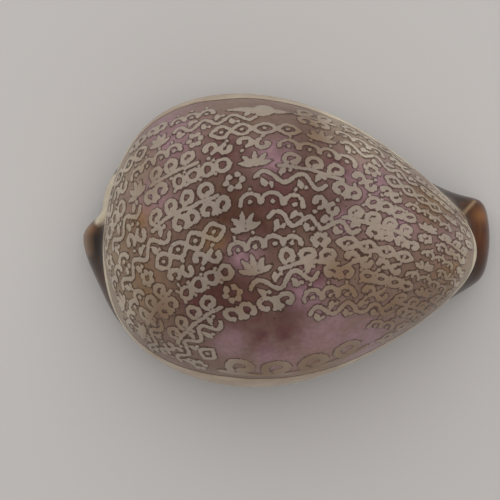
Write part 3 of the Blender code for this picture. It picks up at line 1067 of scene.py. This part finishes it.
for name, places in PATCHES.items():
    keep_attribute(shell, name, patches(points, places))
for name, (start, end, spread) in LINES.items():
    keep_attribute(shell, name, bump(from_segment(points, start, end), spread))
dip = bump(from_segment(points, DIP_START, DIP_END), DIP_SPREAD)
raised_points = points + np.outer(dip, (0, 0, DIP_DEPTH))
keep_attribute(shell, "margin", below(raised_points, MARGIN_SIDE_FADE, MARGIN_END_FADE))
keep_attribute(shell, "flank", below(points, FLANK_SIDE_FADE, FLANK_END_FADE) * (1 - dip))
keep_attribute(shell, "base", below(points, BASE_FADE, BASE_FADE))
keep_attribute(shell, "tooth", ridge * showing)
keep_attribute(shell, "mouth", on_inside)

skin = bpy.data.materials.new("polished_cowrie_shell")
skin.use_nodes = True
tree = skin.node_tree
sources = {}
areas = ("margin", "flank", "base", "tooth", "mouth", "from_stroke", "inside_border")
for name in (*PATCHES, *LINES, *areas):
    sources[name] = add_node(tree, "ShaderNodeAttribute", {}, "Fac", attribute_name=name)
place = add_node(tree, "ShaderNodeTexCoord", {}, "Object")
for name, (kind, size, detail, stretch) in TEXTURES.items():
    stretched = add_node(tree, "ShaderNodeMapping", {"Vector": place, "Scale": stretch})
    sources[name] = add_node(tree, kind, {"Vector": stretched, "Scale": 1 / (size * MM), "Detail": detail})

# The wax ran a little at the strokes' edges.
inputs = {"Value": sources["rag"], "From Min": NOISE_LOW, "From Max": NOISE_HIGH}
inputs |= {"To Min": -EDGE_RAG, "To Max": EDGE_RAG}
rag = add_node(tree, "ShaderNodeMapRange", inputs)
inputs = {0: sources["from_stroke"], 1: rag}
sources["from_stroke"] = add_node(tree, "ShaderNodeMath", inputs, operation="ADD")

ground = coated(tree, colour(GROUND), GROUND_COATS, sources)
strokes_glaze = coated(tree, colour(STROKES), STROKE_COATS, sources)
engraved = coated(tree, strokes_glaze, ((ground, 1.0, STROKE_EDGE), *ETCHED_COATS), sources)
cream = coated(tree, colour(CREAM), CREAM_COATS, sources)
body = coated(tree, cream, ((engraved, 1.0, BORDER_EDGE), *BORDER_COATS), sources)
chestnut = coated(tree, colour(CHESTNUT), CHESTNUT_COATS, sources)
body = coated(tree, body, ((chestnut, 1.0, ("margin", 0, 1)), (MOUTH, 1.0, ("mouth", 0, 1))), sources)

# The etched ground and the chestnut take a higher polish than the strokes, and all of it ripples a little.
inputs = {"Value": sources["from_stroke"], "From Min": 0.0, "From Max": ETCH_SLOPE}
inputs |= {"To Min": STROKE_ROUGHNESS, "To Max": GROUND_ROUGHNESS}
back_roughness = add_node(tree, "ShaderNodeMapRange", inputs)
inputs = {"Value": sources["margin"], "To Min": back_roughness, "To Max": CHESTNUT_ROUGHNESS}
roughness = add_node(tree, "ShaderNodeMapRange", inputs)
ripples = add_node(tree, "ShaderNodeBump", {"Height": sources["mottles"], "Distance": RIPPLE_HEIGHT * MM})

skin_shader = tree.nodes["Principled BSDF"]
tree.links.new(body, skin_shader.inputs["Base Color"])
tree.links.new(roughness, skin_shader.inputs["Roughness"])
tree.links.new(ripples, skin_shader.inputs["Normal"])
skin_shader.inputs["IOR"].default_value = SHELL_IOR
skin_shader.inputs["Specular IOR Level"].default_value = SPECULAR_LEVEL
shell.data.materials.clear()
shell.data.materials.append(skin)

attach(shell, "root")
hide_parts("cowrie_shell")

# The table
# A plain pale board of wood, painted matt, on which the shell lies. The paint scatters the light evenly, so
# the eye sees only a soft shadow on it. Its size is in metres.
TABLE_SIZE = 2.4
TABLE_COLOUR = "#c4c0bd"
TABLE_ROUGHNESS = 0.9

bpy.ops.object.select_all(action="DESELECT")
bpy.ops.mesh.primitive_plane_add(size=TABLE_SIZE)
table = bpy.context.object
table.name = "table"
board = bpy.data.materials.new("matt_painted_board")
board.use_nodes = True
board_shader = board.node_tree.nodes["Principled BSDF"]
board_shader.inputs["Base Color"].default_value = colour(TABLE_COLOUR)
board_shader.inputs["Roughness"].default_value = TABLE_ROUGHNESS
table.data.materials.append(board)

# The light and the camera
# A large soft window on the inner-lip side, a weaker one opposite, and a little light from all round, which
# is darker overhead. The camera looks straight down. Places and sizes are in metres.
ROOM_COLOUR = "#fdfbf8"
ROOM_RISE = (0.1, 0.85)
ROOM_STRENGTHS = (0.5, 0.08)
WINDOW_PLACES = ((-0.03, 0.36, 0.75), (0.35, -1.0, 0.9))
WINDOW_SIZES = (1.5, 1.8)
WINDOW_POWERS = (9.9, 5.0)
CAMERA_PLACE = (-0.00735, -0.0019, 0.33)
LENS = 115.8
SENSOR_WIDTH = 36.0

room = bpy.data.worlds.new("room")
room.use_nodes = True
bpy.context.scene.world = room
sky = add_node(room.node_tree, "ShaderNodeTexCoord", {}, "Generated")
rise = add_node(room.node_tree, "ShaderNodeSeparateXYZ", {0: sky}, "Z")
inputs = {"Value": rise, "From Min": ROOM_RISE[0], "From Max": ROOM_RISE[1]}
inputs |= {"To Min": ROOM_STRENGTHS[0], "To Max": ROOM_STRENGTHS[1]}
brightness = add_node(room.node_tree, "ShaderNodeMapRange", inputs, interpolation_type="SMOOTHSTEP")
room.node_tree.links.new(brightness, room.node_tree.nodes["Background"].inputs["Strength"])
room.node_tree.nodes["Background"].inputs["Color"].default_value = colour(ROOM_COLOUR)

for spot, size, power in zip(WINDOW_PLACES, WINDOW_SIZES, WINDOW_POWERS):
    bpy.ops.object.light_add(type="AREA", location=spot)
    window = bpy.context.object
    window.name = "window"
    window.data.energy = power
    window.data.size = size
    window.visible_glossy = False
    window.rotation_euler = Vector(spot).to_track_quat("Z", "Y").to_euler()

camera_data = bpy.data.cameras.new("camera")
camera_data.lens = LENS
camera_data.sensor_width = SENSOR_WIDTH
camera = bpy.data.objects.new("camera", camera_data)
camera.location = CAMERA_PLACE
bpy.context.scene.collection.objects.link(camera)
bpy.context.scene.camera = camera
bpy.context.scene.view_settings.view_transform = "Standard"
